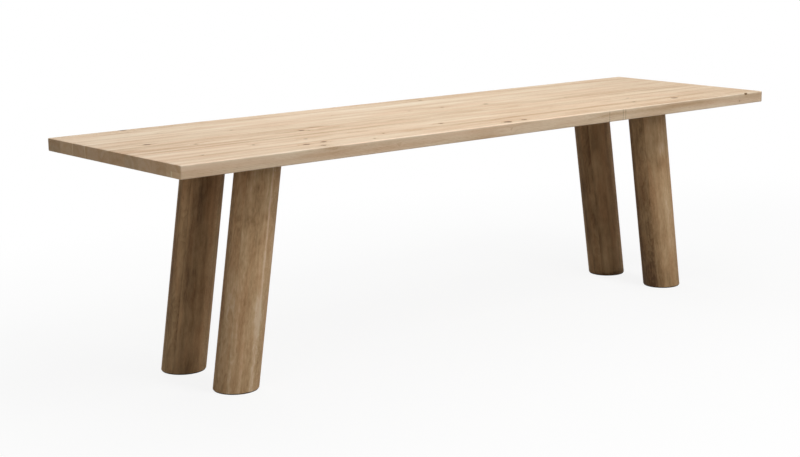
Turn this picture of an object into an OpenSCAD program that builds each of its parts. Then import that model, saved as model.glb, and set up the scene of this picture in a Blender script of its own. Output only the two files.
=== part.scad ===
// Bar table: an oak plank top with a thickened edge on four thick, leaning round legs.
// Millimetres. The origin is on the floor under the middle of the top, +X runs along the length,
// +Y points to the back and +Z up.

/* [Table] */
// Length of the top
table_length = 3200; // [2800:10:3600]
// Width of the top
table_width = 910; // [860:10:1100]
// Height of the top's upper face above the floor
table_height = 920; // [720:5:1100]

/* [Top] */
// Thickness of the glued-up board
board_thickness = 26; // [24:1:40]
// Radius of the top's upright corners
corner_radius = 6; // [1:1:20]
// Width of the bevel that eases the top's arrises
arris = 2; // [0.5:0.5:4]

/* [Thickened edge] */
// Width of the strips glued under the board's edges
strip_width = 62; // [40:1:80]
// Thickness of the strips and of the leg pads
strip_thickness = 23; // [23:1:40]
// Length of each leg pad along the table
pad_length = 330; // [280:5:420]

/* [Legs] */
// Diameter of the round legs
leg_diameter = 172; // [150:1:184]
// Distance from the end of the top to the middle of a leg's upper end
leg_end_inset = 513; // [350:1:650]
// Distance from the long edge of the top to the middle of a leg
leg_side_inset = 277; // [240:1:290]
// Lean of the legs, outwards along the length, in degrees
leg_lean = 8.9; // [0:0.1:12]
// Thickness of the felt glide under each foot
glide_thickness = 4; // [2:0.5:8]
// How far a glide stays inside the foot's rim
glide_inset = 2; // [1:0.5:12]

/* [Leg plates] */
// Side of the square steel plate on each leg
plate_size = 230; // [226:1:250]
// Thickness of the plate
plate_thickness = 8; // [6:0.5:12]
// Radius of the plate's corners
plate_corner = 16; // [2:1:24]
// Distance from the plate's edges to the middle of a corner bolt
bolt_edge = 22; // [16:1:24]

/* [Plate bolts and inserts] */
// Diameter of the corner bolts
bolt_diameter = 8; // [6:1:8]
// Length of a bolt under its head
bolt_length = 22; // [20:1:24]
// Diameter of a bolt's head
bolt_head_diameter = 14; // [12:0.5:16]
// Height of a bolt's head
bolt_head_height = 4.5; // [3:0.5:6]
// Width across the flats of the hexagon socket in a bolt's head
bolt_socket = 5; // [3:0.5:5]
// Outer diameter of a threaded insert
insert_diameter = 12; // [11:0.5:14]
// Length of a threaded insert
insert_length = 18; // [17:1:19]

/* [Leg screws] */
// Diameter of the wood screws that hold a leg to its plate
leg_screw_diameter = 8; // [6:0.5:8]
// Length of a leg screw with its head
leg_screw_length = 80; // [60:5:90]
// Diameter of a leg screw's countersunk head
leg_screw_head = 15; // [12:0.5:16]
// Distance from the leg's rim to the screws of the inner lamellas
screw_rim = 32; // [28:1:36]
// Distance from a glue joint to the screws of the outer lamellas
screw_joint_gap = 12; // [10:1:14]
// Spacing along the table of the two screws in an outer lamella
screw_pair_spacing = 40; // [24:1:44]

/* [Cross bars] */
// Spacing of the steel channels along the table
bar_spacing = 620; // [500:10:640]
// Width of a channel
bar_width = 40; // [30:1:60]
// Height of a channel
bar_height = 15; // [10:1:18]
// Wall of a channel
bar_wall = 3; // [2:0.5:4]
// Gap between a channel's end and the edge strip
bar_end_gap = 6; // [2:1:20]
// Diameter of the channel's screws
bar_screw_diameter = 5; // [4:0.5:6]
// Length of a channel's screw under its head
bar_screw_length = 22; // [16:1:23]
// Diameter of a channel screw's head
bar_screw_head = 10; // [8:0.5:12]
// Height of a channel screw's head
bar_screw_head_height = 3; // [2:0.5:4]
// Travel that a channel's slots leave the wood
slot_travel = 6; // [2:0.5:10]

/* [Clearances] */
// Play all round a screw, bolt or insert in its hole
hole_play = 0.1; // [0.05:0.05:0.2]
// Depth left under the tip of a screw, bolt or insert
tip_play = 0.2; // [0.1:0.1:0.3]

/* [Hidden] */
$fn = 96;
// Relative widths of the ten staves, from the back edge to the front edge
stave_shares = [95, 94, 89, 109, 59, 105, 86, 91, 92, 90];
stave_total = share_sum(len(stave_shares));
// First and last stave that a cross bar is screwed to: the outer ones lie over the edge strips
first_screwed = 1;
last_screwed = len(stave_shares) - 2;
lamella_count = 4;

top_thickness = board_thickness + strip_thickness;
board_bottom = table_height - board_thickness;
top_bottom = table_height - top_thickness;
leg_top = top_bottom - plate_thickness;
leg_x = table_length / 2 - leg_end_inset;
leg_y = table_width / 2 - leg_side_inset;
lamella_thickness = leg_diameter / lamella_count;
bolt_offset = plate_size / 2 - bolt_edge;
inner_length = table_length - 2 * strip_width;
inner_width = table_width - 2 * strip_width;
bar_length = inner_width - 2 * bar_end_gap;
leg_screw_sink = (leg_screw_head - leg_screw_diameter) / 2;
insert_hole_depth = max(insert_length, bolt_length - plate_thickness) + tip_play;
// Enough to pass right through what a cut goes through
over = 1;

OAK_TOP = "#dcc6a8";
OAK_EDGE = "#d6bf9f";
OAK_LEG = "#b18c64";
STEEL_BLACK = "#2c2c2e";
ZINC = "#b9bcc0";
BRASS = "#c9a552";
FELT = "#3a342e";

// Ends and sides of the table, as a word and a direction
ENDS = [["left", -1], ["right", 1]];
SIDES = [["back", 1], ["front", -1]];
BARS = [["left", -1], ["middle", 0], ["right", 1]];
LEGS = [for (s = SIDES) for (e = ENDS) [str(s[0], "_", e[0]), e[1], s[1]]];
STAVES = [for (i = [0 : len(stave_shares) - 1]) str("top_stave_", i < 9 ? "0" : "", i + 1)];

// Sum of the first n stave shares
function share_sum(n) = n == 0 ? 0 : stave_shares[n - 1] + share_sum(n - 1);

// Y of the joint behind stave i, counted from the back edge
function joint_y(i) = table_width / 2 - table_width * share_sum(i) / stave_total;

// Y of the middle of stave i
function stave_y(i) = (joint_y(i) + joint_y(i + 1)) / 2;

// Places of the four bolts on a plate
function bolt_places() = [for (x = [-1, 1]) for (y = [-1, 1]) [x * bolt_offset, y * bolt_offset]];

// Places of the eight screws on a leg's end, two in each lamella
function screw_places() = concat(
    [for (x = [-1, 1]) for (y = [-1, 1]) [x * (leg_diameter / 2 - screw_rim), y * lamella_thickness / 2]],
    [for (x = [-1, 1]) for (y = [-1, 1])
        [x * screw_pair_spacing / 2, y * (lamella_thickness + screw_joint_gap)]]
);

// A block between two opposite corners
module block(low, high) {
    translate(low) cube(high - low);
}

// A hole or shank that stands on the given height
module rod(d, z, length) {
    translate([0, 0, z]) cylinder(d = d, h = length);
}

// A rectangle with round corners, centred
module round_rect(size, r) {
    square([size.x - 2 * r, size.y], center = true);
    square([size.x, size.y - 2 * r], center = true);
    for (x = [-1, 1]) for (y = [-1, 1])
        translate([x * (size.x / 2 - r), y * (size.y / 2 - r)]) circle(r);
}

// A rectangle from the origin upwards with bevelled corners
module bevelled_rect(width, height) {
    polygon([
        [arris - width / 2, 0], [width / 2 - arris, 0],
        [width / 2, arris], [width / 2, height - arris],
        [width / 2 - arris, height], [arris - width / 2, height],
        [-width / 2, height - arris], [-width / 2, arris]
    ]);
}

// The whole outer shape of the top, which the staves and strips are cut from
module top_outline() {
    intersection() {
        translate([0, 0, top_bottom])
            linear_extrude(top_thickness) round_rect([table_length, table_width], corner_radius);
        translate([0, table_width / 2, top_bottom]) rotate([90, 0, 0])
            linear_extrude(table_width) bevelled_rect(table_length, top_thickness);
        translate([-table_length / 2, 0, top_bottom]) rotate([90, 0, 90])
            linear_extrude(table_length) bevelled_rect(table_width, top_thickness);
    }
}

// One stave of the board, with the pilot holes of the cross bars' screws
module top_stave(i) {
    low_y = i == len(stave_shares) - 1 ? joint_y(i + 1) - over : joint_y(i + 1);
    high_y = i == 0 ? joint_y(i) + over : joint_y(i);
    color(OAK_TOP) difference() {
        intersection() {
            top_outline();
            block([-table_length, low_y, board_bottom], [table_length, high_y, table_height + over]);
        }
        if (i >= first_screwed && i <= last_screwed) for (b = BARS)
            translate([b[1] * bar_spacing, stave_y(i), 0])
                rod(bar_screw_diameter + 2 * hole_play, board_bottom - over,
                    bar_screw_length - bar_wall + tip_play + over);
    }
}

// A strip under a long edge, over the whole length
module long_strip(side) {
    inner = side * inner_width / 2;
    outer = side * (table_width / 2 + over);
    color(OAK_EDGE) intersection() {
        top_outline();
        block([-table_length, min(inner, outer), top_bottom - over],
              [table_length, max(inner, outer), board_bottom]);
    }
}

// A strip under an end, between the two long strips
module end_strip(end) {
    inner = end * inner_length / 2;
    outer = end * (table_length / 2 + over);
    color(OAK_EDGE) intersection() {
        top_outline();
        block([min(inner, outer), -inner_width / 2, top_bottom - over],
              [max(inner, outer), inner_width / 2, board_bottom]);
    }
}

// The glued block over a pair of legs, with the holes of the threaded inserts
module leg_pad(end) {
    color(OAK_EDGE) difference() {
        translate([end * leg_x, 0, 0])
            block([-pad_length / 2, -inner_width / 2, top_bottom],
                  [pad_length / 2, inner_width / 2, board_bottom]);
        for (s = SIDES) for (p = bolt_places())
            translate([end * leg_x + p.x, s[1] * leg_y + p.y, 0])
                rod(insert_diameter + 2 * hole_play, top_bottom - over, insert_hole_depth + over);
    }
}

// A steel channel across the underside, its web against the board
module cross_bar(place) {
    slot_width = bar_screw_diameter + 2 * hole_play;
    color(STEEL_BLACK) translate([place * bar_spacing, 0, 0]) difference() {
        block([-bar_width / 2, -bar_length / 2, board_bottom - bar_height],
              [bar_width / 2, bar_length / 2, board_bottom]);
        block([bar_wall - bar_width / 2, -bar_length, board_bottom - bar_height - over],
              [bar_width / 2 - bar_wall, bar_length, board_bottom - bar_wall]);
        for (i = [first_screwed : last_screwed]) translate([0, stave_y(i), 0]) {
            for (y = [-1, 1]) translate([0, y * slot_travel / 2, 0])
                rod(slot_width, board_bottom - bar_wall - over, bar_wall + 2 * over);
            block([-slot_width / 2, -slot_travel / 2, board_bottom - bar_wall - over],
                  [slot_width / 2, slot_travel / 2, board_bottom + over]);
        }
    }
}

// The pan-head screws of one channel, one in each stave over it
module bar_screws(place) {
    head_top = board_bottom - bar_wall;
    color(ZINC) for (i = [first_screwed : last_screwed])
        translate([place * bar_spacing, stave_y(i), 0]) {
            rod(bar_screw_diameter, head_top, bar_screw_length);
            rod(bar_screw_head, head_top - bar_screw_head_height, bar_screw_head_height);
        }
}

// One of the four boards that a leg is glued up from; 1 is at the back
module leg_lamella(end, side, i) {
    shift = 2 * table_height;
    low_y = i == lamella_count ? -leg_diameter : leg_diameter / 2 - i * lamella_thickness;
    high_y = i == 1 ? leg_diameter : leg_diameter / 2 - (i - 1) * lamella_thickness;
    color(OAK_LEG) translate([end * leg_x, side * leg_y, 0]) difference() {
        intersection() {
            translate([0, 0, leg_top]) rotate([0, -end * leg_lean, 0])
                cylinder(d = leg_diameter, h = 2 * shift, center = true);
            block([-shift, low_y, glide_thickness], [shift, high_y, leg_top]);
        }
        for (p = screw_places()) if (p.y > low_y && p.y < high_y)
            translate([p.x, p.y, 0])
                rod(leg_screw_diameter + 2 * hole_play, screw_tip() - tip_play, leg_screw_length);
    }
}

// Height of the tips of the leg screws
function screw_tip() = leg_top + plate_thickness - hole_play - leg_screw_length;

// The steel plate on a leg's upper end, with countersunk screw holes and corner bolt holes
module leg_plate(end, side) {
    color(STEEL_BLACK) translate([end * leg_x, side * leg_y, 0]) difference() {
        translate([0, 0, leg_top]) linear_extrude(plate_thickness)
            round_rect([plate_size, plate_size], plate_corner);
        for (p = bolt_places()) translate([p.x, p.y, 0])
            rod(bolt_diameter + 2 * hole_play, leg_top - over, plate_thickness + 2 * over);
        for (p = screw_places()) translate([p.x, p.y, 0]) {
            rod(leg_screw_diameter + 2 * hole_play, leg_top - over, plate_thickness + 2 * over);
            translate([0, 0, leg_top + plate_thickness - leg_screw_sink])
                cylinder(d1 = leg_screw_diameter + 2 * hole_play, d2 = leg_screw_head + 2 * hole_play,
                         h = leg_screw_sink);
        }
    }
}

// The eight countersunk wood screws of one leg
module leg_screws(end, side) {
    head_top = leg_top + plate_thickness - hole_play;
    color(ZINC) translate([end * leg_x, side * leg_y, 0])
        for (p = screw_places()) translate([p.x, p.y, 0]) {
            rod(leg_screw_diameter, screw_tip(), leg_screw_length - leg_screw_sink);
            translate([0, 0, head_top - leg_screw_sink])
                cylinder(d1 = leg_screw_diameter, d2 = leg_screw_head, h = leg_screw_sink);
        }
}

// The four bolts of one plate, with hexagon sockets in their heads
module plate_bolts(end, side) {
    color(STEEL_BLACK) translate([end * leg_x, side * leg_y, 0])
        for (p = bolt_places()) translate([p.x, p.y, 0]) difference() {
            union() {
                rod(bolt_diameter, leg_top, bolt_length);
                rod(bolt_head_diameter, leg_top - bolt_head_height, bolt_head_height);
            }
            translate([0, 0, leg_top - bolt_head_height - over])
                cylinder(d = bolt_socket / cos(30), h = bolt_head_height / 2 + over, $fn = 6);
        }
}

// The four threaded inserts over one plate
module plate_inserts(end, side) {
    color(BRASS) translate([end * leg_x, side * leg_y, 0])
        for (p = bolt_places()) translate([p.x, p.y, 0]) difference() {
            rod(insert_diameter, top_bottom, insert_length);
            rod(bolt_diameter + 2 * hole_play, top_bottom - over, insert_length + 2 * over);
        }
}

// The felt disc under one foot
module glide(end, side) {
    foot_x = leg_x + (leg_top - glide_thickness) * tan(leg_lean);
    color(FELT) translate([end * foot_x, side * leg_y, 0])
        rod(leg_diameter - 2 * glide_inset, 0, glide_thickness);
}

for (i = [0 : len(STAVES) - 1]) top_stave(i);
for (s = SIDES) long_strip(s[1]);
for (e = ENDS) end_strip(e[1]);
for (e = ENDS) leg_pad(e[1]);
for (b = BARS) cross_bar(b[1]);
for (b = BARS) bar_screws(b[1]);
for (l = LEGS) for (i = [1 : lamella_count])
    leg_lamella(l[1], l[2], i);
for (l = LEGS) leg_plate(l[1], l[2]);
for (l = LEGS) leg_screws(l[1], l[2]);
for (l = LEGS) plate_bolts(l[1], l[2]);
for (l = LEGS) plate_inserts(l[1], l[2]);
for (l = LEGS) glide(l[1], l[2]);
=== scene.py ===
import math
import bmesh
import bpy
from mathutils import Matrix, Vector


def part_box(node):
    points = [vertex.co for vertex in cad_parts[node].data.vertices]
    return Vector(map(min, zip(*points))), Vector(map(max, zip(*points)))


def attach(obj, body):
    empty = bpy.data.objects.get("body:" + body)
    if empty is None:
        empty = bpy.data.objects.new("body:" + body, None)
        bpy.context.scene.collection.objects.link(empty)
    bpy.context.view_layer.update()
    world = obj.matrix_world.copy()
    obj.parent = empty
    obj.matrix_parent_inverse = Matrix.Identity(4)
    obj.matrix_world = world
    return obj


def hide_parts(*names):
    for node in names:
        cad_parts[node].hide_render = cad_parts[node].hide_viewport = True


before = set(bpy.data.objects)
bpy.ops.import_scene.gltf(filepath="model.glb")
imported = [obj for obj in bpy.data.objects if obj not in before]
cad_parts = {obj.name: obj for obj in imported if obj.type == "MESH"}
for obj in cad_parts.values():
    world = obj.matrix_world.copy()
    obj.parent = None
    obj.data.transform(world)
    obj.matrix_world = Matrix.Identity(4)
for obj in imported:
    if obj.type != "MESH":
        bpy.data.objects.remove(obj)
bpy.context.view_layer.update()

# The board of the top: ten long oak staves, planed, glued edge to edge and eased together all round.
# Planed oak under a matt hardwax oil: pale tan wood with long darker and lighter streaks along the
# grain, rings that bend round brown knots, and fine dark vessels that take the oil.
MM = 0.001
BACK = 1
FRONT = 10
STAVES = [f"top_stave_{number:02d}" for number in range(BACK, FRONT + 1)]
TOP_LOW = (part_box("edge_strip_left")[0][0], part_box("edge_strip_front")[0][1],
           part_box("edge_strip_front")[0][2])
TOP_HIGH = (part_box("edge_strip_right")[1][0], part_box("edge_strip_back")[1][1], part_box("top_stave_01")[1][2])
CORNER_RADIUS = 6 * MM
ARRIS_RADIUS = 4 * MM


def colour(hex_value):
    """An sRGB hex value as linear RGBA."""
    channels = [int(hex_value[i:i + 2], 16) / 255 for i in (1, 3, 5)]
    return [c / 12.92 if c <= 0.04045 else ((c + 0.055) / 1.055) ** 2.4 for c in channels] + [1.0]


def add(tree, kind, *feeds, stops=(), **settings):
    """Adds a node. Feeds go to its inputs in order; a dict at the end feeds inputs by name or number.
    stops are a ramp's places and shades, its two ends first."""
    whole_name = kind.startswith(("Geometry", "Function", "NodeGroup"))
    node = tree.nodes.new(kind if whole_name else "ShaderNode" + kind)
    for key, value in settings.items():
        setattr(node, key, value)
    named = feeds[-1] if feeds and isinstance(feeds[-1], dict) else {}
    ordered = feeds[:-1] if named else feeds
    for socket, feed in [*zip(node.inputs, ordered), *((node.inputs[k], f) for k, f in named.items())]:
        if isinstance(feed, bpy.types.NodeSocket):
            tree.links.new(feed, socket)
        elif feed is not None:
            socket.default_value = feed
    for number, (place, shade) in enumerate(stops):
        ramp = node.color_ramp.elements
        element = ramp[number] if number < 2 else ramp.new(place)
        element.position = place
        element.color = colour(shade) if isinstance(shade, str) else (shade, shade, shade, 1.0)
    return node.outputs


def bare_material(name):
    """A new material whose node tree is still empty."""
    material = bpy.data.materials.new(name)
    material.use_nodes = True
    material.node_tree.nodes.clear()
    return material


def drawn_out(tree, at, length, width, seed, detail=2.0, low=0.5, high=0.5):
    """Noise drawn out along the grain, its cells length by width millimetres. The seed moves it to a
    place of its own, and low and high stretch it to run from 0 to 1."""
    stretch = (1 / (length * MM), 1 / (width * MM), 1 / (width * MM))
    scaled = add(tree, "VectorMath", at, stretch, {2: (seed * 7.3, seed * 3.1, seed * 5.7)},
                 operation="MULTIPLY_ADD")[0]
    noise = add(tree, "TexNoise", {"Vector": scaled, "Scale": 1.0, "Detail": detail, "Roughness": 0.55})[0]
    return noise if low == high else add(tree, "MapRange", noise, low, high, 0.0, 1.0)[0]


def shaded(tree, tone, *layers):
    """The tone with each layer's value, taken from its middle, added at the layer's strength."""
    for value, strength in layers:
        tone = add(tree, "Math", add(tree, "Math", value, 0.5, operation="SUBTRACT")[0], strength, tone,
                   operation="MULTIPLY_ADD")[0]
    return tone


def away_squared(tree, at, place, reach, turn=(0, 0, 0)):
    """The square of a point's way from the place, where the reach along each axis counts as 1."""
    local = add(tree, "Mapping", {"Vector": at, "Location": place, "Rotation": turn, "Scale": reach},
                vector_type="TEXTURE")[0]
    return add(tree, "VectorMath", local, local, operation="DOT_PRODUCT")[1]


# Bell curves, as the base of a power: a wide one for swollen rings and streaks, a narrow one for a
# knot's core
WIDE_BELL = math.exp(-1)
NARROW_BELL = math.exp(-4.2)
# How far a knot disturbs the wood along, across and up, in its radii, and how far it pushes the rings
KNOT_REACH = (3.6, 2.4, 2.2)
KNOT_SWELL = 1.6
# The reach upwards of a mark that goes right through the board, in radii
THROUGH = 9999
# The widths of lines of glue in millimetres: between boards, on end grain and across a finger joint,
# whose line is dashes as long as a finger is thick
GLUE_LINE = 0.7
PALE_SEAM = 5.2
FINGER_LINE = 3.0
FINGER_PITCH = 4.6
FINGER_DASH = 2.6
GLUE_SHADE = "#6b4e33"
PALE_GLUE_SHADE = "#e6d0aa"


def with_glue(tree, shade, board, normal, end, joints, seams, fingers):
    """The shade with dark hair lines where boards meet, pale lines on the end grain, and finger joints."""
    along, across, up = add(tree, "SeparateXYZ", board)
    for joint in joints:
        gap = add(tree, "Math", across, joint * MM, GLUE_LINE / 2 * MM, operation="COMPARE")[0]
        gap = add(tree, "Math", gap, 0.35, operation="MULTIPLY")[0]
        shade = add(tree, "Mix", {0: gap, 6: shade, 7: colour(GLUE_SHADE)}, data_type="RGBA")[2]
    for seam in seams:
        line = add(tree, "Math", across, seam * MM, PALE_SEAM / 2 * MM, operation="COMPARE")[0]
        line = add(tree, "Math", line, end, operation="MULTIPLY")[0]
        shade = add(tree, "Mix", {0: line, 6: shade, 7: colour(PALE_GLUE_SHADE)}, data_type="RGBA")[2]
    if fingers:
        sideways = add(tree, "Math", add(tree, "SeparateXYZ", normal)[1], operation="ABSOLUTE")[0]
        sideways = add(tree, "MapRange", sideways, 0.7, 0.9, 0.0, 1.0)[0]
        tips = add(tree, "Math", up, FINGER_PITCH * MM, operation="MODULO")[0]
        tips = add(tree, "Math", tips, operation="ABSOLUTE")[0]
        tips = add(tree, "Math", tips, FINGER_DASH * MM, operation="LESS_THAN")[0]
        tips = add(tree, "Math", tips, sideways, operation="MULTIPLY")[0]
        for finger in fingers:
            line = add(tree, "Math", along, finger * MM, FINGER_LINE / 2 * MM, operation="COMPARE")[0]
            line = add(tree, "Math", line, 0.8, operation="MULTIPLY")[0]
            line = add(tree, "Math", line, tips, operation="MULTIPLY")[0]
            shade = add(tree, "Mix", {0: line, 6: shade, 7: colour(GLUE_SHADE)}, data_type="RGBA")[2]
    return shade


def oak(name, place, seed, log, tones, tone=0.0, turn=(0, 0, 0), knots=(), streaks_and_painted_light=(), joints=(), seams=(),
        fingers=(), band=0.24, cloudy=0.12, patch=(260, 70), rippled=0.0, wander=14, wavy=4, rosy=0.45,
        rough=0.62, end_shade="#c8a57b"):
    """Oak as a solid wood: rings round the log's heart, vessels, fibres, rays, knots and end grain.

    place and turn are the board's own middle and lie, in metres and radians, and its first axis is the
    grain. The seed gives it patterns of its own. Everything else is in millimetres from that middle.
    log is (beside, above, drift beside, drift above, year): where the heart runs, how far it strays in
    each metre, and a year's growth. A knot is (along, across, up, radius, darkness). A streak, which on some
    boards is a patch of painted light or shade, is (along, across, up, half length, half width, tone).
    Either goes right through the board if its up is 0.
    joints are where glue joints cross the board, seams are where one shows pale on its end grain, and
    fingers are where finger joints cross its sides.
    band, cloudy, rippled and rosy are how strongly years, clouds, short ripples and a reddish blush show.
    patch is a cloud's length and width, and wander and wavy are how far the grain strays in long and in
    short waves.
    """
    beside, above, drift_beside, drift_above, year = log
    material = bare_material(name)
    tree = material.node_tree
    coordinates = add(tree, "TexCoord")
    board = add(tree, "Mapping", {"Vector": coordinates["Object"], "Location": place, "Rotation": turn},
                vector_type="TEXTURE")[0]
    normal = add(tree, "VectorRotate", coordinates["Normal"], {"Rotation": turn}, rotation_type="EULER_XYZ",
                 invert=True)[0]

    # The log grew unevenly: its grain wanders along the board, and waves a little on the way. A pace is
    # how fast it does so along, across and up, in waves to the metre
    grown = board
    for pace, reach in (((1.4, 6.0, 6.0), wander), ((13.0, 20.0, 20.0), wavy)):
        uneven = add(tree, "VectorMath", board, pace, {2: (seed * 2.3, seed, seed * 1.7)},
                     operation="MULTIPLY_ADD")[0]
        uneven = add(tree, "TexNoise", {"Vector": uneven, "Scale": 1.0, "Detail": 3.0})[1]
        uneven = add(tree, "VectorMath", uneven, (0.5, 0.5, 0.5), operation="SUBTRACT")[0]
        grown = add(tree, "VectorMath", uneven, (0.0, reach * MM, reach * MM), {2: grown},
                    operation="MULTIPLY_ADD")[0]
    along, across, up = add(tree, "SeparateXYZ", grown)
    side = add(tree, "Math", along, -drift_beside * MM, across, operation="MULTIPLY_ADD")[0]
    side = add(tree, "Math", side, beside * MM, operation="SUBTRACT")[0]
    deep = add(tree, "Math", along, -drift_above * MM, up, operation="MULTIPLY_ADD")[0]
    deep = add(tree, "Math", deep, above * MM, operation="SUBTRACT")[0]
    outwards = add(tree, "CombineXYZ", 0.0, side, deep)[0]
    radius = add(tree, "VectorMath", outwards, operation="LENGTH")[1]

    # Round a knot the rings swell and darken. Each lies a little askew, with a torn outline
    ragged = add(tree, "VectorMath", board, (70, 140, 140), {2: (seed, seed, 0)}, operation="MULTIPLY_ADD")[0]
    ragged = add(tree, "TexNoise", {"Vector": ragged, "Scale": 1.0, "Detail": 3.0})
    torn = add(tree, "VectorMath", ragged[1], (0.5, 0.5, 0.5), operation="SUBTRACT")[0]
    torn = add(tree, "VectorMath", torn, (16 * MM, 8 * MM, 0), {2: board}, operation="MULTIPLY_ADD")[0]
    tone_now = 0.5 + tone
    core = 0.0
    reach_along, reach_across, reach_up = KNOT_REACH
    for x, y, z, size, darkness in knots:
        reach = (size * reach_along * MM, size * reach_across * MM, size * (reach_up if z else THROUGH) * MM)
        square = away_squared(tree, torn, (x * MM, y * MM, z * MM), reach, (0, 0, 0.12 * math.sin(x)))
        swell = add(tree, "Math", WIDE_BELL, square, operation="POWER")[0]
        radius = add(tree, "Math", swell, size * KNOT_SWELL * MM, radius, operation="MULTIPLY_ADD")[0]
        tone_now = add(tree, "Math", swell, -0.14 * darkness, tone_now, operation="MULTIPLY_ADD")[0]
        tight = add(tree, "Math", NARROW_BELL, square, operation="POWER")[0]
        tight = add(tree, "Math", tight, darkness, operation="MULTIPLY")[0]
        core = add(tree, "Math", core, tight, operation="MAXIMUM")[0]
    # Streaks lighten or darken the tone, and so do the patches of painted light and shade among them
    for x, y, z, half_length, half_width, shade in streaks_and_painted_light:
        reach = (half_length * MM, half_width * MM, half_width * (1 if z else THROUGH) * MM)
        square = away_squared(tree, board, (x * MM, y * MM, z * MM), reach)
        mark = add(tree, "Math", WIDE_BELL, square, operation="POWER")[0]
        tone_now = add(tree, "Math", mark, shade, tone_now, operation="MULTIPLY_ADD")[0]

    # Each year begins with a row of open vessels, and years differ in colour
    years = add(tree, "Math", radius, year * MM, operation="DIVIDE")[0]
    uneven = drawn_out(tree, board, 60, 5, seed + 0.4, 3.0)
    years = add(tree, "Math", uneven, 0.7, years, operation="MULTIPLY_ADD")[0]
    early = add(tree, "ValToRGB", add(tree, "Math", years, operation="FRACT")[0],
                stops=[(0.0, 1.0), (1.0, 1.0), (0.18, 0.75), (0.5, 0.1), (0.88, 0.0), (0.96, 0.8)])[0]
    spell = add(tree, "CombineXYZ", add(tree, "Math", years, 0.17, operation="MULTIPLY")[0],
                add(tree, "Math", along, 0.5, operation="MULTIPLY")[0], seed)[0]
    spell = add(tree, "TexNoise", {"Vector": spell, "Scale": 1.0, "Detail": 3.0, "Roughness": 0.5})[0]
    spell = add(tree, "MapRange", spell, 0.34, 0.66, 0.0, 1.0)[0]
    fibre = drawn_out(tree, grown, 90, 1.3, seed + 1.7, 3.0)
    long_streaks = drawn_out(tree, grown, 760, 24, seed + 2.9, 3.0, 0.36, 0.64)
    clouds = drawn_out(tree, board, *patch, seed + 4.3, 2.0, 0.3, 0.7)
    ripples = drawn_out(tree, grown, 26, 8, seed + 8.8, 3.0, 0.3, 0.7)
    vessels = drawn_out(tree, grown, 16, 0.6, seed + 5.9, 1.0, 0.57, 0.69)
    vessels = add(tree, "Math", vessels, add(tree, "Math", early, 0.85, 0.15, operation="MULTIPLY_ADD")[0],
                  operation="MULTIPLY")[0]

    # Rays cut along their length show as pale flecks where the face is parallel to them
    facing_out = add(tree, "VectorMath", outwards, operation="NORMALIZE")[0]
    facing_out = add(tree, "VectorMath", facing_out, normal, operation="DOT_PRODUCT")[1]
    facing_out = add(tree, "Math", facing_out, operation="ABSOLUTE")[0]
    quarter = add(tree, "MapRange", facing_out, 0.42, 0.12, 0.0, 1.0)[0]
    around = add(tree, "Math", side, deep, operation="ARCTAN2")[0]
    rays = add(tree, "CombineXYZ", add(tree, "Math", along, 1 / (7 * MM), operation="MULTIPLY")[0],
               add(tree, "Math", around, 60.0, operation="MULTIPLY")[0],
               add(tree, "Math", radius, 1 / (9 * MM), operation="MULTIPLY")[0])[0]
    rays = add(tree, "TexNoise", {"Vector": rays, "Scale": 1.0, "Detail": 1.0})[0]
    rays = add(tree, "MapRange", rays, 0.56, 0.66, 0.0, 1.0)[0]
    flecks = add(tree, "Math", rays, quarter, operation="MULTIPLY")[0]

    tone_now = shaded(tree, tone_now, (spell, band), (long_streaks, 0.12), (clouds, cloudy), (fibre, 0.22),
                      (ripples, rippled))
    tone_now = add(tree, "Math", early, -0.09, tone_now, operation="MULTIPLY_ADD")[0]
    tone_now = add(tree, "Math", vessels, -0.2, tone_now, operation="MULTIPLY_ADD")[0]
    tone_now = add(tree, "Math", flecks, 0.12, tone_now, operation="MULTIPLY_ADD")[0]
    shade = add(tree, "ValToRGB", tone_now, stops=tones)[0]
    blush = drawn_out(tree, grown, patch[0] * 1.6, patch[1] * 0.6, seed + 6.6, 2.0, 0.4, 0.65)
    blush = add(tree, "Math", blush, rosy, operation="MULTIPLY")[0]
    blushed = add(tree, "Mix", {0: 1.0, 6: shade, 7: colour("#f6e2d6")}, data_type="RGBA",
                  blend_type="MULTIPLY")[2]
    shade = add(tree, "Mix", {0: blush, 6: shade, 7: blushed}, data_type="RGBA")[2]

    # The middle of a knot is a brown branch with a dark rim
    if knots:
        knot = add(tree, "Math", core, add(tree, "Math", ragged[0], 1.1, 0.45, operation="MULTIPLY_ADD")[0],
                   operation="MULTIPLY")[0]
        branch = add(tree, "ValToRGB", knot, stops=[(0.36, "#86623a"), (1.0, "#3a2712"), (0.46, "#4e351c"),
                                                    (0.6, "#70502e"), (0.8, "#80613b")])[0]
        inside = add(tree, "MapRange", knot, 0.2, 0.46, 0.0, 1.0, interpolation_type="SMOOTHSTEP")[0]
        shade = add(tree, "Mix", {0: inside, 6: shade, 7: branch}, data_type="RGBA")[2]

    # End grain drinks more oil, so it is darker
    end = add(tree, "Math", add(tree, "SeparateXYZ", normal)[0], operation="ABSOLUTE")[0]
    end = add(tree, "MapRange", end, 0.6, 0.9, 0.0, 1.0, interpolation_type="SMOOTHSTEP")[0]
    oiled = add(tree, "Math", end, 0.55, operation="MULTIPLY")[0]
    shade = add(tree, "Mix", {0: oiled, 6: shade, 7: colour(end_shade)}, data_type="RGBA")[2]

    shade = with_glue(tree, shade, board, normal, end, joints, seams, fingers)

    height = shaded(tree, 0.0, (fibre, 0.6), (vessels, -1.0), (early, -0.3), (flecks, 0.2))
    relief = add(tree, "Bump", {"Strength": 0.6, "Distance": 0.3 * MM, "Height": height})[0]
    gloss = shaded(tree, rough, (fibre, 0.12), (early, 0.08), (flecks, -0.1))
    finish = add(tree, "BsdfPrincipled", {"Base Color": shade, "Roughness": gloss, "Normal": relief,
                                          "IOR": 1.47, "Specular IOR Level": 0.2})
    add(tree, "OutputMaterial", finish[0])
    return material


# The facets of a round corner meet at less than this angle, in radians, and the faces at an arris at more
ARRIS_ANGLE = 1.0


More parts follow.
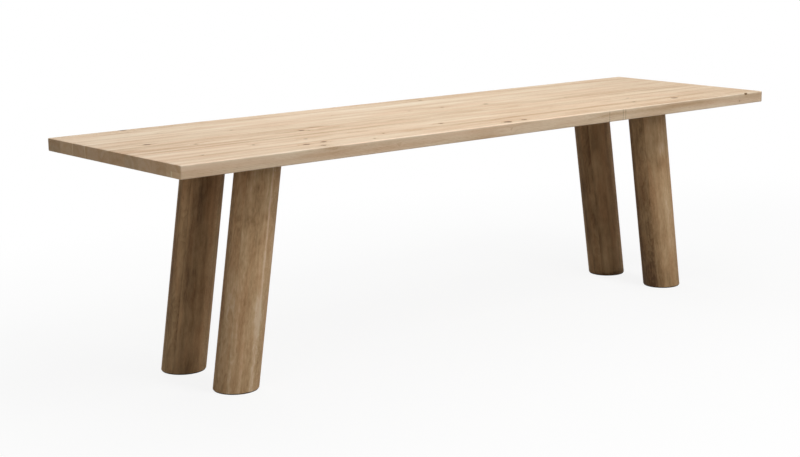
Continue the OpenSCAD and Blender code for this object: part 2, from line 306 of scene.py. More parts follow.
def block(low, high, corner_radius, arris_radius, steps=4):
    """A block with rounded arrises, and round upright corners where their radius isn't 0."""
    shell = bmesh.new()
    bmesh.ops.create_cube(shell, size=1.0)
    for vertex in shell.verts:
        vertex.co = Vector([low[i] + (vertex.co[i] + 0.5) * (high[i] - low[i]) for i in range(3)])
    if corner_radius:
        upright = [e for e in shell.edges if e.verts[0].co.z != e.verts[1].co.z]
        bmesh.ops.bevel(shell, geom=upright, offset=corner_radius, segments=steps, profile=0.5,
                        affect="EDGES")
    shell.normal_update()
    rims = [e for e in shell.edges if e.calc_face_angle(0) > ARRIS_ANGLE]
    bmesh.ops.bevel(shell, geom=rims, offset=arris_radius, segments=steps, profile=0.5, affect="EDGES")
    return shell


# Points this near a saw cut, in metres, count as on it
SAW_TOLERANCE = 1e-7


def cut(shell, place, outward, clear):
    """Cuts the shell along a plane, clears what lies outward if asked to, and returns the cut's edges."""
    everything = shell.verts[:] + shell.edges[:] + shell.faces[:]
    result = bmesh.ops.bisect_plane(shell, geom=everything, plane_co=place, plane_no=outward,
                                    clear_outer=clear, dist=SAW_TOLERANCE)
    return [e for e in result["geom_cut"] if isinstance(e, bmesh.types.BMEdge)]


def sawn(shell, low, high):
    """A copy of the shell, sawn to the box between two corners, with a face in each cut. A corner's
    coordinate is None where nothing is sawn."""
    part = shell.copy()
    for axis in range(3):
        for limit, way in ((low[axis], -1), (high[axis], 1)):
            if limit is None:
                continue
            outward = Vector([way if i == axis else 0 for i in range(3)])
            bmesh.ops.contextual_create(part, geom=cut(part, outward * way * limit, outward, True))
    bmesh.ops.recalc_face_normals(part, faces=part.faces[:])
    return part


def placed(name, data):
    """A new object in the scene."""
    thing = bpy.data.objects.new(name, data)
    bpy.context.scene.collection.objects.link(thing)
    return thing


def piece_of(name, shell, material, slot, *nodes, smooth_below=30):
    """Makes a finished piece of the shell, which stands for those nodes of the frame."""
    mesh = bpy.data.meshes.new(name)
    shell.to_mesh(mesh)
    shell.free()
    mesh.materials.append(material)
    mesh.shade_smooth()
    mesh.set_sharp_from_angle(angle=math.radians(smooth_below))
    piece = placed(name, mesh)
    even = piece.modifiers.new("even shading", "WEIGHTED_NORMAL")
    even.keep_sharp = True
    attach(piece, "root")
    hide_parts(*nodes)
    return piece


# The wood's shades from its darkest streak to its palest, the ends first. The palest also colours the painted
# highlight along the front arris.
TOP_TONES = [(0.0, "#9a7857"), (1.0, "#ffe6cd"), (0.25, "#c7aa89"), (0.5, "#e0caae"), (0.75, "#e9d9c1")]
# Each stave's log, as oak() takes it, and the stave's own tone
TOP_LOGS = [((30, -90, 4, 16, 3.0), -0.02), ((-5, -45, 2, 14, 3.6), 0.06), ((60, -50, -4, 10, 2.6), 0.05),
            ((8, -38, 3, -12, 4.2), -0.01), ((-45, -60, 4, 11, 3.0), 0.0), ((-12, -52, -3, 15, 3.8), -0.05),
            ((70, -30, 5, 8, 2.4), 0.02), ((10, -60, 2, -16, 3.3), 0.01), ((-20, -40, 4, 12, 3.9), 0.01),
            ((50, -70, -3, 10, 2.8), 0.02)]
# Knots by stave, from the table's middle: along, across, radius, darkness. One further across than
# KNOTS_STAY_UP stays in the upper face, and doesn't come out in the table's edge.
KNOTS_STAY_UP = 440
TOP_KNOTS = {
    1: [(-1285, 447, 10, 1.25), (186, 378, 6, 0.6)],
    2: [(-1231, 277, 4, 0.4)],
    3: [(-420, 240, 4, 0.4)],
    4: [(-980, 154, 5, 0.55), (-90, 132, 5, 0.45), (97, 128, 6, 0.7), (313, 83, 7, 0.8)],
    5: [(-1422, 47, 8, 1.05), (752, 20, 6, 0.45)],
    6: [(-1285, -66, 6, 0.5), (-785, -40, 9, 0.62), (-762, -57, 6, 0.45)],
    8: [(930, -204, 7, 0.5), (-1143, -226, 6, 0.52), (-914, -238, 6, 0.65), (-258, -262, 11, 0.5)],
    9: [(-1415, -308, 6, 0.5), (-996, -352, 8, 0.85), (-910, -342, 8, 0.75), (-610, -324, 5, 0.5),
        (845, -314, 9, 0.55), (1092, -342, 11, 0.85)],
    10: [(-718, -403, 5, 0.6), (-963, -412, 7, 0.7), (-30, -412, 11, 1.0), (66, -409, 7, 0.95),
         (1475, -453, 6, 1.0)],
}
# Knots in the front face: along, below the upper face, radius, darkness
FRONT_KNOTS = [(-948, 11, 6, 0.27), (-640, 32, 5, 0.3), (-50, 32, 5, 0.3), (1428, 32, 4, 0.4)]
# Streaks by stave, from the table's middle: along, across, half length, half width, tone. They fade
# below the upper face. The front stave's first is a painted highlight along the front arris.
TOP_STREAKS_AND_HIGHLIGHT = {
    1: [(150, 373, 180, 12, -0.2), (-1300, 380, 110, 16, -0.08), (-1345, 374, 95, 5, -0.55)],
    2: [(-240, 315, 620, 20, 0.17)],
    3: [(220, 205, 160, 20, 0.17), (-1400, 215, 300, 30, -0.05)],
    5: [(-1300, 62, 240, 8, 0.14), (-690, 20, 90, 10, -0.12)],
    6: [(1250, -45, 440, 30, -0.19), (-745, -30, 130, 30, -0.09), (-695, 2, 45, 9, -0.4),
        (-722, -34, 40, 10, 0.35), (-712, -72, 65, 9, -0.2)],
    7: [(-1150, -136, 820, 44, -0.14)],
    8: [(-50, -227, 400, 11, 0.2), (-1100, -225, 660, 34, 0.08), (1300, -228, 500, 36, -0.08)],
    9: [(560, -312, 640, 24, -0.16), (-1380, -312, 320, 15, -0.12)],
    # The first is a painted highlight: a thin pale line along the front arris, where light catches the edge
    10: [(0, -452.5, 1900, 4, 0.7), (-955, -456, 55, 11, -0.3), (28, -458, 55, 9, -0.3),
         (-900, -441, 900, 9, 0.16), (900, -458, 900, 36, -0.17), (-1320, -402, 340, 26, -0.07),
         (-1520, -468, 380, 30, 0.14)],
}
# Where finger joints cross the front stave
FINGER_JOINTS = (534, 620, 636)
# The end grain of staves 1 and 7 drank the most oil, that of staves 2 and 10 the least
END_SHADES = {1: "#aa865b", 2: "#c49c6c", 7: "#aa865b", 10: "#c79e6e"}
PLAIN_END_SHADE = "#b99063"
# The staves whose front joint shows pale on the end grain
PALE_JOINTS = (2, 3)


def stave_wood(name, number, seams, end_shade):
    """The wood of a stave, or of a strip sawn off the same plank."""
    low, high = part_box(STAVES[number - 1])
    middle = [(a + b) / 2 for a, b in zip(low, high)]
    across = middle[1] / MM
    half = (high[1] - low[1]) / 2 / MM
    top = (high[2] - middle[2]) / MM
    log, tone = TOP_LOGS[number - 1]
    knots = [(x, y - across, top if abs(y) > KNOTS_STAY_UP else 0, size, darkness)
             for x, y, size, darkness in TOP_KNOTS.get(number, ())]
    if number == FRONT:
        knots += [(x, -half, top - down, size, darkness) for x, down, size, darkness in FRONT_KNOTS]
    streaks_and_painted_light = [(x, y - across, top, *rest) for x, y, *rest in TOP_STREAKS_AND_HIGHLIGHT.get(number, ())]
    joints = [side * half for side in (-1, 1) if BACK <= number - side <= FRONT]
    return oak(name, middle, number * 1.37, log, TOP_TONES, tone, rippled=0.04, knots=knots, streaks_and_painted_light=streaks_and_painted_light,
               joints=joints, seams=seams, fingers=FINGER_JOINTS if number == FRONT else (),
               end_shade=end_shade)


top_shell = block(TOP_LOW, TOP_HIGH, CORNER_RADIUS, ARRIS_RADIUS)
stave_woods = []
for number, stave in enumerate(STAVES, BACK):
    low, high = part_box(stave)
    half = (high[1] - low[1]) / 2 / MM
    wood = stave_wood(f"Planed oak stave {number:02d}", number, [-half] if number in PALE_JOINTS else (),
                      END_SHADES.get(number, PLAIN_END_SHADE))
    stave_woods.append(wood)
    part = sawn(top_shell, (None, low[1] if number < FRONT else None, low[2]),
                (None, high[1] if number > BACK else None, None))
    piece_of(f"stave_{number:02d}", part, wood, "oak_top", stave)

# The thickened edge: oak strips glued flush under the board's four edges, planed and eased with it. The
# long ones are sawn off the planks of the outer staves, so the faces' grain runs on, and a pale line of
# glue shows on the front one's end. The short ones are sawn across the same panel as the board.
STRIP_END_SHADES = {"back": "#a98b64", "front": "#e6c192"}
# How far the two halves of the front strip's line of glue lie from its inner side, in millimetres
STRIP_SEAMS = (2.5, 6)

for place, number in (("back", BACK), ("front", FRONT)):
    node = f"edge_strip_{place}"
    low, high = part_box(node)
    stave_low, stave_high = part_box(STAVES[number - 1])
    inner = high[1] - (stave_low[1] + stave_high[1]) / 2
    seams = [inner / MM - inset for inset in STRIP_SEAMS] if number == FRONT else ()
    wood = stave_wood(f"Planed oak strip {place}", number, seams, STRIP_END_SHADES[place])
    part = sawn(top_shell, (None, low[1] if number == BACK else None, None),
                (None, high[1] if number == FRONT else None, high[2]))
    piece_of(f"strip_{place}", part, wood, "oak_edge", node)

borders = [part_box(stave)[0][1] for stave in STAVES[:-1]]
for place in ("left", "right"):
    node = f"edge_strip_{place}"
    low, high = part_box(node)
    part = sawn(top_shell, (low[0] if place == "right" else None, low[1], None),
                (high[0] if place == "left" else None, high[1], high[2]))
    for border in borders:
        cut(part, (0, border, 0), (0, 1, 0), False)
    for face in part.faces:
        face.material_index = sum(face.calc_center_median().y < border for border in borders)
    strip = piece_of(f"strip_{place}", part, stave_woods[0], "oak_edge", node)
    for wood in stave_woods[1:]:
        strip.data.materials.append(wood)
top_shell.free()

# The leg pads: planed blocks of oak glued under the board over each pair of legs, with their grain along
# the table like the board's. They hold the threaded inserts.
PAD_ARRIS = 1.5 * MM
for number, place in enumerate(("left", "right")):
    node = f"leg_pad_{place}"
    low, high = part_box(node)
    middle = [(a + b) / 2 for a, b in zip(low, high)]
    wood = oak(f"Planed oak pad {place}", middle, 30 + number * 2.1, (40, -80, 3, 12, 3.4), TOP_TONES, -0.03)
    piece_of(f"pad_{place}", block(low, high, 0, PAD_ARRIS, 2), wood, "oak_edge", node)

# The cross bars: steel channels across the board's underside that keep it flat, screwed through slots.
# Folded sheet steel under a fine black powder coat: dark, even, faintly pebbled and half matt.
powder = bare_material("Powder coated steel")
tree = powder.node_tree
at = add(tree, "TexCoord")["Object"]
pebble = add(tree, "TexNoise", {"Vector": at, "Scale": 1 / (1.4 * MM), "Detail": 2.0})[0]
patchy = add(tree, "TexNoise", {"Vector": at, "Scale": 1 / (45 * MM), "Detail": 2.0})[0]
coat = add(tree, "ValToRGB", patchy, stops=[(0.3, "#171718"), (0.7, "#232324")])[0]
sheen = add(tree, "MapRange", pebble, 0.3, 0.7, 0.42, 0.56)[0]
relief = add(tree, "Bump", {"Strength": 0.5, "Distance": 0.12 * MM, "Height": pebble})[0]
coat = add(tree, "BsdfPrincipled", {"Base Color": coat, "Roughness": sheen, "Normal": relief})
add(tree, "OutputMaterial", coat[0])


def eased_copy(name, node, ease, material, slot):
    """Makes a finished piece of a CAD node, with its sharp edges eased as tumbling leaves sheet steel."""
    shell = bmesh.new()
    shell.from_mesh(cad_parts[node].data)
    shell.transform(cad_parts[node].matrix_world)
    bmesh.ops.remove_doubles(shell, verts=shell.verts[:], dist=0.01 * MM)
    bmesh.ops.dissolve_limit(shell, angle_limit=math.radians(1), verts=shell.verts[:], edges=shell.edges[:])
    piece = piece_of(name, shell, material, slot, node)
    edge = piece.modifiers.new("eased edges", "BEVEL")
    edge.width = ease
    edge.segments = 2
    edge.limit_method = "ANGLE"
    edge.angle_limit = math.radians(40)
    edge.use_clamp_overlap = True
    # The edges are eased before the shading is evened out
    piece.modifiers.move(1, 0)


BARS = ("left", "middle", "right")
BAR_EASE = 0.5 * MM
for place in BARS:
    eased_copy(f"bar_{place}", f"cross_bar_{place}", BAR_EASE, powder, "steel_black")

# The cross bars' screws: pan heads with a star recess, one into each stave but the outer two, turned to
# chance angles as a driver leaves them. Zinc-plated steel: pale, bluish, softly bright and patchy.
zinc = bare_material("Zinc plated steel")
tree = zinc.node_tree
at = add(tree, "TexCoord")["Object"]
grains = add(tree, "TexVoronoi", {"Vector": at, "Scale": 1 / (2.2 * MM)}, feature="F1")["Color"]
grains = add(tree, "SeparateColor", grains)[0]
scuffs = add(tree, "TexNoise", {"Vector": at, "Scale": 1 / (3 * MM), "Detail": 4.0})[0]
plating = add(tree, "ValToRGB", shaded(tree, 0.5, (grains, 0.5), (scuffs, 0.8)),
              stops=[(0.1, "#a9adb0"), (0.9, "#d3d5d6")])[0]
sheen = add(tree, "MapRange", scuffs, 0.3, 0.7, 0.28, 0.42)[0]
relief = add(tree, "Bump", {"Strength": 0.3, "Distance": 0.05 * MM, "Height": scuffs})[0]
plating = add(tree, "BsdfPrincipled", {"Base Color": plating, "Metallic": 1.0, "Roughness": sheen,
                                       "Normal": relief})
add(tree, "OutputMaterial", plating[0])


def skinned(shell, rings):
    """The shell with a skin from each ring of points to the next, closed at both ends."""
    for lower, upper in zip(rings, rings[1:]):
        for k in range(len(lower)):
            shell.faces.new((lower[k - 1], lower[k], upper[k], upper[k - 1]))
    shell.faces.new(reversed(rings[0]))
    shell.faces.new(rings[-1])
    bmesh.ops.recalc_face_normals(shell, faces=shell.faces[:])
    return shell


def turned(rows, steps, unit=1.0):
    """A closed shell of rings. Each row is (radius, height, shape), and shape gives a ring's outline.
    The unit is that of the rows, in metres."""
    shell = bmesh.new()
    angles = [2 * math.pi * k / steps for k in range(steps)]
    rings = []
    for radius, height, shape in rows:
        spokes = [radius * unit * shape(a) for a in angles]
        rings.append([shell.verts.new((spoke * math.cos(a), spoke * math.sin(a), height * unit))
                      for spoke, a in zip(spokes, angles)])
    return skinned(shell, rings)


def driven_in(name, shell, seats, material, node):
    """Sets a screw or bolt into each seat, each turned to its own angle, and joins them to one piece."""
    mesh = bpy.data.meshes.new(name)
    is_seat = shell.verts.layers.bool.new("seat")
    for seat in seats:
        shell.verts.new(seat)[is_seat] = True
    shell.to_mesh(mesh)
    shell.free()
    piece = placed(name, mesh)

    tree = bpy.data.node_groups.new(name, "GeometryNodeTree")
    tree.interface.new_socket("Geometry", in_out="INPUT", socket_type="NodeSocketGeometry")
    turns = tree.interface.new_socket("Largest turn", in_out="INPUT", socket_type="NodeSocketFloat")
    size = tree.interface.new_socket("Size", in_out="INPUT", socket_type="NodeSocketFloat")
    made_of = tree.interface.new_socket("Made of", in_out="INPUT", socket_type="NodeSocketMaterial")
    tree.interface.new_socket("Geometry", in_out="OUTPUT", socket_type="NodeSocketGeometry")
    given = add(tree, "NodeGroupInput")
    flag = add(tree, "GeometryNodeInputNamedAttribute", "seat", data_type="BOOLEAN")[0]
    parts = add(tree, "GeometryNodeSeparateGeometry", given["Geometry"], flag, domain="POINT")
    angle = add(tree, "FunctionNodeRandomValue", {2: 0.0, 3: given["Largest turn"], "Seed": 7},
                data_type="FLOAT")[1]
    angle = add(tree, "CombineXYZ", 0.0, 0.0, angle)[0]
    set_in = add(tree, "GeometryNodeInstanceOnPoints", parts[0],
                 {"Instance": parts[1], "Rotation": angle, "Scale": given["Size"]})[0]
    joined = add(tree, "GeometryNodeRealizeInstances", set_in)[0]
    joined = add(tree, "GeometryNodeSetMaterial", joined, {"Material": given["Made of"]})[0]
    add(tree, "NodeGroupOutput", joined)

    setting = piece.modifiers.new("driven in", "NODES")
    setting.node_group = tree
    setting[turns.identifier] = 2 * math.pi
    setting[size.identifier] = 1.0
    setting[made_of.identifier] = material
    finished = bpy.data.meshes.new_from_object(piece.evaluated_get(bpy.context.evaluated_depsgraph_get()))
    piece.modifiers.remove(setting)
    piece.data = finished
    finished.name = name
    finished.shade_smooth()
    finished.set_sharp_from_angle(angle=math.radians(35))
    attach(piece, "root")
    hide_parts(node)


def round_ring(angle):
    """A round outline."""
    return 1.0


def star_ring(angle):
    """The outline of a six-pointed star recess."""
    return 1.0 + 0.16 * math.cos(6 * angle)


def hex_ring(angle):
    """The outline of a hexagon whose flats lie at radius 1."""
    return 1 / math.cos((angle + math.pi / 6) % (math.pi / 3) - math.pi / 6)


# A screw's profile from the bottom of its recess, round its head and up to its point, in millimetres:
# radius, height, outline. Height 0 is where the head rests.
SCREW_HEAD = 3.0
BAR_SCREW = [(1.2, -1.3, star_ring), (1.7, -1.7, star_ring), (1.8, -2.9, star_ring),
             (2.5, -SCREW_HEAD, round_ring), (3.6, -2.8, round_ring), (4.5, -2.2, round_ring),
             (4.95, -1.3, round_ring), (5.0, -0.4, round_ring), (4.9, 0.0, round_ring),
             (2.5, 0.0, round_ring), (2.5, 17.5, round_ring), (0.3, 22.0, round_ring)]
FASTENER_STEPS = 24
for place in BARS:
    bar_low, bar_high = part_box(f"cross_bar_{place}")
    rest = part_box(f"bar_screws_{place}")[0][2] + SCREW_HEAD * MM
    seats = []
    for stave in STAVES[1:-1]:
        low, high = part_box(stave)
        seats.append(((bar_low[0] + bar_high[0]) / 2, (low[1] + high[1]) / 2, rest))
    shell = turned(BAR_SCREW, FASTENER_STEPS, MM)
    driven_in(f"screws_{place}", shell, seats, zinc, f"bar_screws_{place}")

# The legs: each is glued up from four oak boards and turned to a round column, then cut level at both
# ends so that it leans outwards, and eased at the foot. Oiled a shade darker and browner than the top.
LEG_TONES = [(0.0, "#694f36"), (1.0, "#e0c8a8"), (0.25, "#987a57"), (0.5, "#b99871"), (0.75, "#cdae87")]
# Sides of a leg's round, and steps of its eased rim
LEG_STEPS = 128
EASE_STEPS = 3
FOOT_EASE = 1.5 * MM
LEG_LOGS = [(60, 70, 5, 20, 3.2), (-30, 60, -4, 14, 3.8), (25, -55, 4, 16, 3.0), (-60, -80, -5, 12, 3.6)]
LAMELLAS = 4
# Tone of each leg's boards, from the back one. The back legs' boards are all darker by a painted shade, as if
# under the top and behind the front legs; the differences between boards are the wood's own.
LEG_BOARD_TONES_AND_SHADE = {"back_left": (-0.12, -0.05, -0.16, -0.1), "back_right": (-0.2, -0.12, -0.16, -0.1),
              "front_left": (0.03, -0.03, 0.06, 0.09), "front_right": (-0.02, -0.08, -0.06, 0.07)}
# How strongly each leg is figured
LEG_FIGURE = {"back_left": 0.1, "back_right": 0.08, "front_left": 0.26, "front_right": 0.18}


def column(foot, head, radius, stretch):
    """A round column that leans along X, cut level at both ends and eased at the foot. Cut level, its ends
    are longer than they are wide by the stretch."""
    shell = bmesh.new()
    ease = [(FOOT_EASE * (1 - math.cos(a)), FOOT_EASE * (1 - math.sin(a)))
            for a in [math.pi / 2 * k / EASE_STEPS for k in range(EASE_STEPS + 1)]]
    angles = [2 * math.pi * k / LEG_STEPS for k in range(LEG_STEPS)]
    rings = []
    for rise, inset in [*ease, (head.z - foot.z, 0.0)]:
        middle = foot.lerp(head, rise / (head.z - foot.z))
        half_length = radius * stretch - inset
        half_width = radius - inset
        rings.append([shell.verts.new((middle.x + half_length * math.cos(a),
                                       middle.y + half_width * math.sin(a), middle.z)) for a in angles])
    return skinned(shell, rings)


# Streaks and patches of each leg, from its middle: along, across, up, half length, half width, tone. Some patches
# are painted light and shade, as marked below.
LEG_STREAKS_AND_PAINTED_LIGHT = {
    "back_left": [(0, 17, 84, 600, 14, -0.28), (-200, -26, 82, 380, 13, 0.2), (0, -66, 56, 800, 30, -0.17),
                  (250, -75, 42, 220, 30, -0.1), (0, -84, -20, 700, 12, 0.16),
                  (-350, -40, 74, 130, 90, 0.09)],
    "back_right": [(0, 30, 80, 700, 20, -0.15), (0, -35, 78, 700, 16, -0.1), (0, -72, 47, 700, 18, 0.1),
                   (0, -84, 18, 700, 14, 0.12), (-300, -20, 82, 260, 50, -0.08),
                   # The last, a dark band right round the foot, is a painted shadow where the leg meets the floor
                   (-345, -40, 74, 120, 90, 0.11), (-430, -45, 70, 13, 120, -0.5)],
    "front_left": [(0, 17, 84, 600, 15, -0.2), (200, -27, 81, 200, 26, -0.13), (-260, -18, 84, 190, 20, 0.13),
                   (-150, -56, 65, 380, 13, 0.26), (330, -56, 66, 140, 10, 0.12),
                   (-110, -84, 16, 220, 18, 0.16), (150, -85.4, -10, 270, 6, 0.38),
                   (-230, -86, -8, 240, 11, 0.26), (0, -84, -16, 460, 14, 0.1),
                   # The last three marks of this leg, small dark blotches high up, are painted shade
                   (-150, -86, 6, 420, 26, 0.08), (205, -60, 62, 22, 30, -0.12),
                   (225, -86, 8, 20, 20, -0.1), (330, -74, 42, 14, 9, -0.25)],
    "front_right": [(0, 38, 77, 700, 13, -0.34), (150, 12, 85, 300, 11, 0.16), (0, -28, 80, 700, 30, -0.12),
                    # The pale patch high on the front and the dark band under it, on the next line, are painted
                    # light and painted shade
                    (0, -85, 12, 700, 16, 0.1), (250, -84, 15, 34, 30, 0.32), (178, -80, 26, 24, 34, -0.14),
                    (-170, -85, 5, 240, 20, 0.22), (120, -70, 50, 320, 14, 0.08),
                    # The last two darken the foot, most on its left: painted shade near the floor
                    (-430, 0, 84, 130, 62, -0.3), (-410, -80, 20, 110, 60, -0.14)],
}

LEGS = [(side, end) for side in ("back", "front") for end in ("left", "right")]
for leg_number, (side, end) in enumerate(LEGS):
    lamellas = [f"leg_{side}_{end}_lamella_{i + 1}" for i in range(LAMELLAS)]
    glide_low, glide_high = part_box(f"glide_{side}_{end}")
    plate_low, plate_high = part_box(f"leg_plate_{side}_{end}")
    foot = Vector(((glide_low[0] + glide_high[0]) / 2, (glide_low[1] + glide_high[1]) / 2, glide_high[2]))
    head = Vector(((plate_low[0] + plate_high[0]) / 2, foot.y, plate_low[2]))
    radius = (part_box(lamellas[0])[1][1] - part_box(lamellas[-1])[0][1]) / 2
    grain = (head - foot).normalized()
    shell = column(foot, head, radius, 1 / grain.z)
    axes = Matrix((grain, Vector((0, 1, 0)), grain.cross(Vector((0, 1, 0))))).transposed()
    glued = [(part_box(node)[0][1] - foot.y) / MM for node in lamellas[:-1]]
    figure = LEG_FIGURE[f"{side}_{end}"]
    for i, node in enumerate(lamellas):
        low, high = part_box(node)
        wood = oak(f"Turned oak leg {side} {end} {i + 1}", tuple((foot + head) / 2),
                   40 + leg_number * 5.3 + i * 1.7, LEG_LOGS[i], LEG_TONES, LEG_BOARD_TONES_AND_SHADE[f"{side}_{end}"][i],
                   turn=tuple(axes.to_euler()), streaks_and_painted_light=LEG_STREAKS_AND_PAINTED_LIGHT[f"{side}_{end}"], joints=glued,
                   band=0.14 + figure / 2, cloudy=0.24, patch=(150, 60), rippled=figure, wander=16,
                   wavy=12, rosy=0.5, rough=0.66, end_shade="#7a5c3c")
        part = sawn(shell, (None, low[1] if i < LAMELLAS - 1 else None, None),
                    (None, high[1] if i > 0 else None, None))
        piece_of(f"leg_{side}_{end}_{i + 1}", part, wood, "oak_leg", node)
    shell.free()

# The leg plates: laser-cut steel under the same black powder coat as the cross bars, bolted to the pads.
# Countersunk zinc-plated screws, hidden once the table stands, hold each to its leg's end grain.
PLATE_EASE = 0.7 * MM


def finished_cad(node, material):
    """Gives a hidden piece, which keeps its CAD shape, its finished material."""
    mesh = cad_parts[node].data
    mesh.materials.clear()
    mesh.materials.append(material)


for side, end in LEGS:
    eased_copy(f"plate_{side}_{end}", f"leg_plate_{side}_{end}", PLATE_EASE, powder, "steel_black")
    finished_cad(f"leg_screws_{side}_{end}", zinc)

# The plate bolts: black button heads with a hexagon socket, four to a plate, up into brass inserts.
# Blackened steel: nearly black, satin, with a little brown where the finish is thin.
black_bolt = bare_material("Blackened steel")
tree = black_bolt.node_tree
at = add(tree, "TexCoord")["Object"]
thin = add(tree, "TexNoise", {"Vector": at, "Scale": 1 / (4 * MM), "Detail": 3.0})[0]
oxide = add(tree, "ValToRGB", thin, stops=[(0.35, "#17171a"), (0.7, "#2a2624")])[0]
sheen = add(tree, "MapRange", thin, 0.3, 0.7, 0.3, 0.45)[0]
oxide = add(tree, "BsdfPrincipled", {"Base Color": oxide, "Roughness": sheen, "Metallic": 0.6})
add(tree, "OutputMaterial", oxide[0])

# A bolt's profile, like a screw's
BOLT_HEAD = 4.5
BOLT_RADIUS = 7.0
PLATE_BOLT = [(2.5, -1.9, hex_ring), (2.5, -4.3, hex_ring), (2.65, -BOLT_HEAD, hex_ring),
              (3.7, -BOLT_HEAD, round_ring), (5.0, -4.2, round_ring), (6.1, -3.4, round_ring),
              (6.75, -2.2, round_ring), (BOLT_RADIUS, -0.9, round_ring), (6.95, 0.0, round_ring),
              (4.0, 0.0, round_ring), (4.0, 21.2, round_ring), (3.2, 22.0, round_ring)]
for side, end in LEGS:
    low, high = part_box(f"plate_bolts_{side}_{end}")
    inset = BOLT_RADIUS * MM
    seats = [(x, y, low[2] + BOLT_HEAD * MM) for x in (low[0] + inset, high[0] - inset)
             for y in (low[1] + inset, high[1] - inset)]
    shell = turned(PLATE_BOLT, FASTENER_STEPS, MM)
    driven_in(f"bolts_{side}_{end}", shell, seats, black_bolt, f"plate_bolts_{side}_{end}")

# The threaded inserts: turned brass, screwed into the pads from below and hidden by the plates. Yellow,
# a little tarnished, with fine rings from the tool.
brass = bare_material("Turned brass")
tree = brass.node_tree
at = add(tree, "TexCoord")["Object"]
tool = add(tree, "TexWave", {"Vector": at, "Scale": 1 / (6 * MM), "Distortion": 0.4},
           bands_direction="Z")[1]
tarnish = add(tree, "TexNoise", {"Vector": at, "Scale": 1 / (6 * MM), "Detail": 3.0})[0]
metal = add(tree, "ValToRGB", tarnish, stops=[(0.3, "#b08a3e"), (0.7, "#d9b764")])[0]
relief = add(tree, "Bump", {"Strength": 0.3, "Distance": 0.05 * MM, "Height": tool})[0]
sheen = add(tree, "MapRange", tarnish, 0.3, 0.7, 0.22, 0.36)[0]
metal = add(tree, "BsdfPrincipled", {"Base Color": metal, "Metallic": 1.0, "Roughness": sheen,
                                     "Normal": relief})
add(tree, "OutputMaterial", metal[0])
for side, end in LEGS:
    finished_cad(f"plate_inserts_{side}_{end}", brass)

# The glides: a disc of pressed wool felt glued under each foot, just inside its rim. Dark brown-grey,
# quite matt, with a short tangled nap.
felt = bare_material("Pressed felt")
tree = felt.node_tree
at = add(tree, "TexCoord")["Object"]
nap = add(tree, "TexNoise", {"Vector": at, "Scale": 1 / (0.9 * MM), "Detail": 4.0, "Distortion": 1.5})[0]
mottle = add(tree, "TexNoise", {"Vector": at, "Scale": 1 / (12 * MM), "Detail": 2.0})[0]
wool = add(tree, "ValToRGB", shaded(tree, 0.5, (nap, 1.0), (mottle, 0.6)),
           stops=[(0.1, "#2b2622"), (0.9, "#4d463f")])[0]
relief = add(tree, "Bump", {"Strength": 0.8, "Distance": 0.4 * MM, "Height": nap})[0]
wool = add(tree, "BsdfPrincipled", {"Base Color": wool, "Roughness": 0.95, "Normal": relief,
                                    "Specular IOR Level": 0.2, "Sheen Weight": 0.2})
add(tree, "OutputMaterial", wool[0])

# The rim of a glide in millimetres, in from its full radius and up from the floor, or down from the foot
WORN_RIM = [(1.2, 0.0), (0.5, 0.3), (0.0, 1.1)]
GLUED_RIM = [(0.0, 0.6), (0.4, 0.0)]
GLIDE_STEPS = 96
for side, end in LEGS:
    node = f"glide_{side}_{end}"
    low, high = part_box(node)
    radius = (high[1] - low[1]) / 2
    rows = [(radius - inset * MM, low[2] + up * MM, round_ring) for inset, up in WORN_RIM]
    rows += [(radius - inset * MM, high[2] - down * MM, round_ring) for inset, down in GLUED_RIM]
    shell = turned(rows, GLIDE_STEPS)
    bmesh.ops.translate(shell, vec=((low[0] + high[0]) / 2, (low[1] + high[1]) / 2, 0), verts=shell.verts[:])
    piece_of(f"felt_{side}_{end}", shell, felt, "felt", node, smooth_below=50)

# The photographer's stage: a pale floor that reads white to the eye and keeps the table's shadow, six
# soft lamps and a pale room. The floor lies a hair below the felt, and is clear from underneath, so that
# the table's underside can be looked at.
FLOOR = -0.2 * MM
FLOOR_REACH = 30
corners = [(x * FLOOR_REACH, y * FLOOR_REACH, FLOOR) for x, y in ((-1, -1), (1, -1), (1, 1), (-1, 1))]
floor_mesh = bpy.data.meshes.new("floor")
floor_mesh.from_pydata(corners, [], [(0, 1, 2, 3)])
floor = placed("floor", floor_mesh)


def looked_at(tree):
    """1 for the rays by which the eye sees a thing, 0 for those that only carry its light to others."""
    rays = add(tree, "LightPath")
    seen = add(tree, "Math", rays["Is Camera Ray"], rays["Is Glossy Ray"], operation="MAXIMUM")[0]
    return add(tree, "Math", seen, rays["Is Transmission Ray"], operation="MAXIMUM")[0]


paint = bare_material("Painted floor")
tree = paint.node_tree
seen = looked_at(tree)
# Under the table the floor takes a faint shadow. Round the table it is also a little darker by a painted
# shade, which whitens to plain paper 0.9 to 3 metres out
away = add(tree, "VectorMath", add(tree, "TexCoord")["Object"], (0.6, 1.0, 0.0), operation="MULTIPLY")[0]
away = add(tree, "VectorMath", away, operation="LENGTH")[1]
share = add(tree, "MapRange", away, 0.9, 3.0, 0.88, 1.0, interpolation_type="SMOOTHSTEP")[0]
pale = add(tree, "Mix", {0: seen, 6: colour("#acaaa7"), 7: colour("#f6f6f5")}, data_type="RGBA")[2]
matt = add(tree, "BsdfDiffuse", pale)[0]
white = add(tree, "Emission", (1, 1, 1, 1), 1.0)[0]
share = add(tree, "Math", seen, share, operation="MULTIPLY")[0]
front = add(tree, "MixShader", share, matt, white)[0]
add(tree, "OutputMaterial", add(tree, "MixShader", add(tree, "NewGeometry")["Backfacing"], front,
                                add(tree, "BsdfTransparent")[0])[0])
floor_mesh.materials.append(paint)

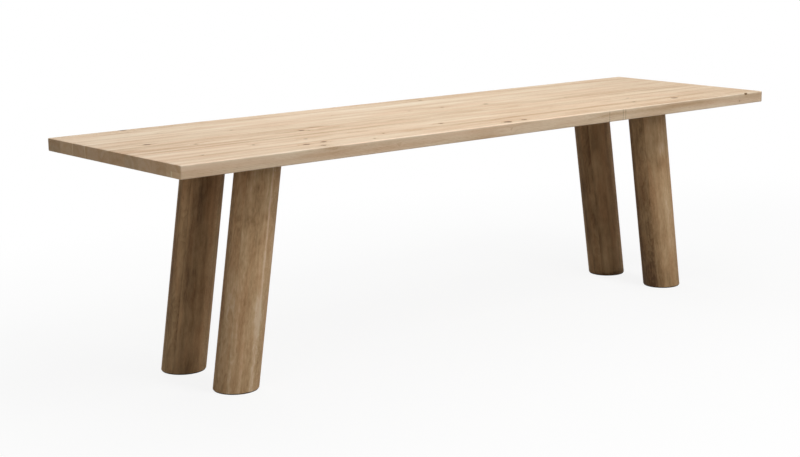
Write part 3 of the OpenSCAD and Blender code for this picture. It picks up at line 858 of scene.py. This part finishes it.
# The room lights softly from all round, and is white to the eye
world = bpy.data.worlds.new("Room")
bpy.context.scene.world = world
world.use_nodes = True
tree = world.node_tree
tree.nodes.clear()
room = add(tree, "Background", (1, 1, 1, 1), 0.1)[0]
white = add(tree, "Background", (1, 1, 1, 1), 1.0)[0]
add(tree, "OutputWorld", add(tree, "MixShader", looked_at(tree), room, white)[0])


def lamp(name, place, target, size, watts):
    """A square softbox, size metres wide, that looks at the target."""
    light = bpy.data.lights.new(name, "AREA")
    light.shape = "SQUARE"
    light.size = size
    light.energy = watts
    holder = placed(name, light)
    holder.location = place
    holder.rotation_euler = (Vector(target) - Vector(place)).to_track_quat("-Z", "Y").to_euler()


lamp("key", (0.7, -3.6, 5.0), (0, 0, 0.6), 2.0, 124)
lamp("low front", (0.8, -6.0, 3.0), (0, 0, 0.6), 1.5, 55)
lamp("overhead", (0.0, 0.3, 4.5), (0, 0, 0.9), 4.0, 82)
lamp("back", (1.5, 5.0, 5.0), (0, 0, 0.6), 2.0, 80)
lamp("left", (-5.0, -2.0, 2.0), (0, 0, 0.6), 2.0, 37)
lamp("right", (5.5, -2.5, 1.5), (0, 0, 0.5), 1.5, 22)

# The camera stands in front of the table's left end, a little above a standing person's eyes, and looks
# down along the table. Its place is in metres and its angles in degrees, as fitted to the photo's edges.
CAMERA_PLACE = (-4.469, -5.0005, 1.7687)
CAMERA_YAW = 43.768
CAMERA_PITCH = 11.413
FOCAL_PIXELS = 1589.1
FRAME_PIXELS = 800
SHIFT_PIXELS = 100
SENSOR_MM = 36
camera_data = bpy.data.cameras.new("camera")
camera_data.sensor_width = SENSOR_MM
camera_data.lens = FOCAL_PIXELS * SENSOR_MM / FRAME_PIXELS
camera_data.shift_x = -SHIFT_PIXELS / FRAME_PIXELS
camera = placed("camera", camera_data)
camera.location = CAMERA_PLACE
camera.rotation_euler = (math.radians(90 - CAMERA_PITCH), 0, math.radians(-CAMERA_YAW))
bpy.context.scene.camera = camera
bpy.context.scene.view_settings.view_transform = "Standard"
